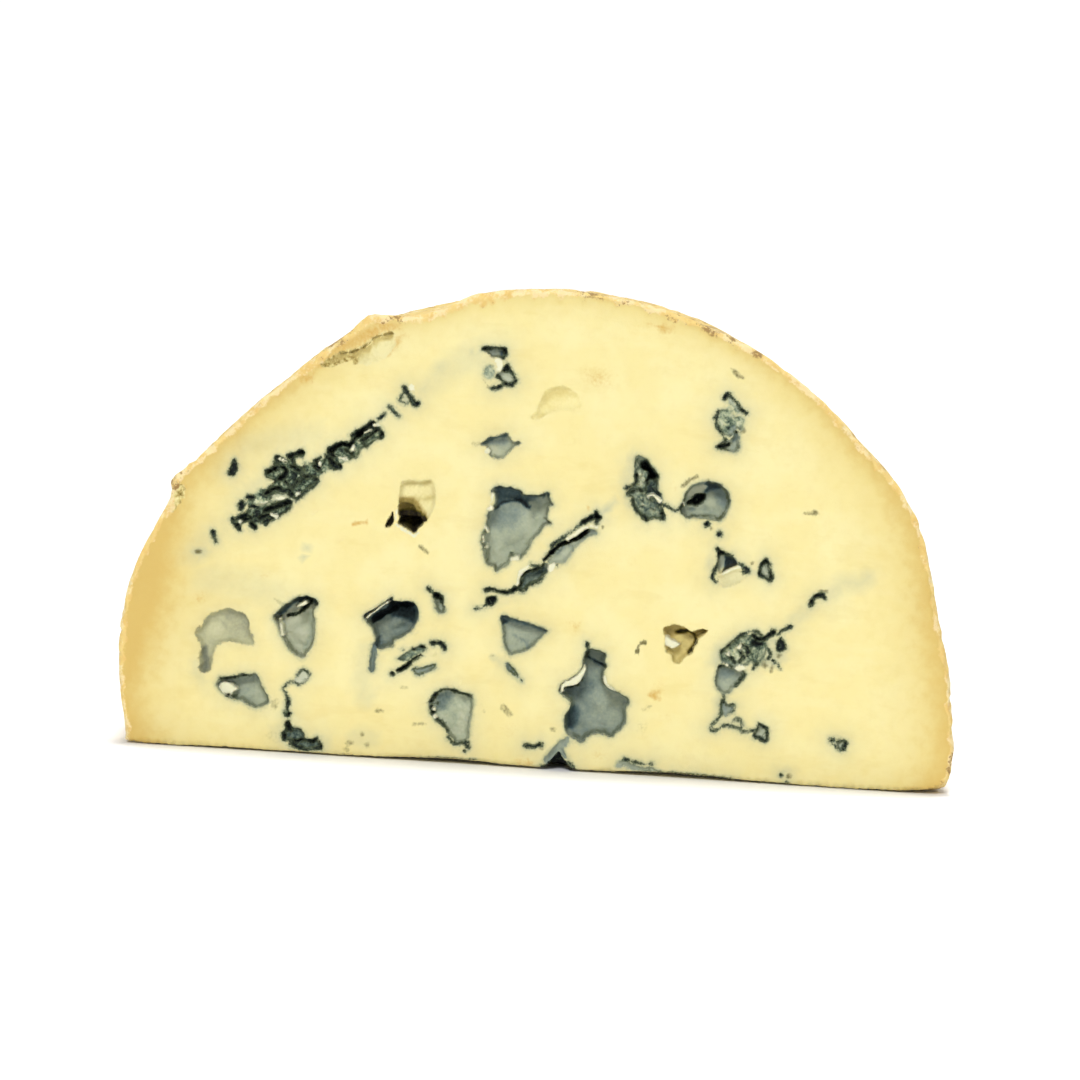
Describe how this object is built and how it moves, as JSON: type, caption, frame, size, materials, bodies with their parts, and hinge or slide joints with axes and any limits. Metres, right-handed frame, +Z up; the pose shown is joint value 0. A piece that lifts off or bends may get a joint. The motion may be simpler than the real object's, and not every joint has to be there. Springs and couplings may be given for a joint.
{
  "type": "half-round slice of blue cheese",
  "caption": "Thick half-round slice of blue-veined cheese standing on its straight cut edge, with mould-lined pockets in its pale cut faces and a thin rind round the curve.",
  "frame": {"origin": "middle of the base: halfway along the straight cut edge and halfway through the slice's thickness, on the plane that it stands on", "axes": "+Z up, +X along the straight cut edge, to the right as the front cut face is looked at, and +Y through the thickness from the front cut face to the back one"},
  "size_m": [0.1302, 0.04, 0.0747],
  "materials": {
    "cheese": "soft pale yellow paste, slightly moist and satin, with grey-blue to green-black mould in the pockets and a dry orange-tan rind"
  },
  "bodies": {
    "root": {"cheese_slice": "cheese"}
  },
  "joints": []
}
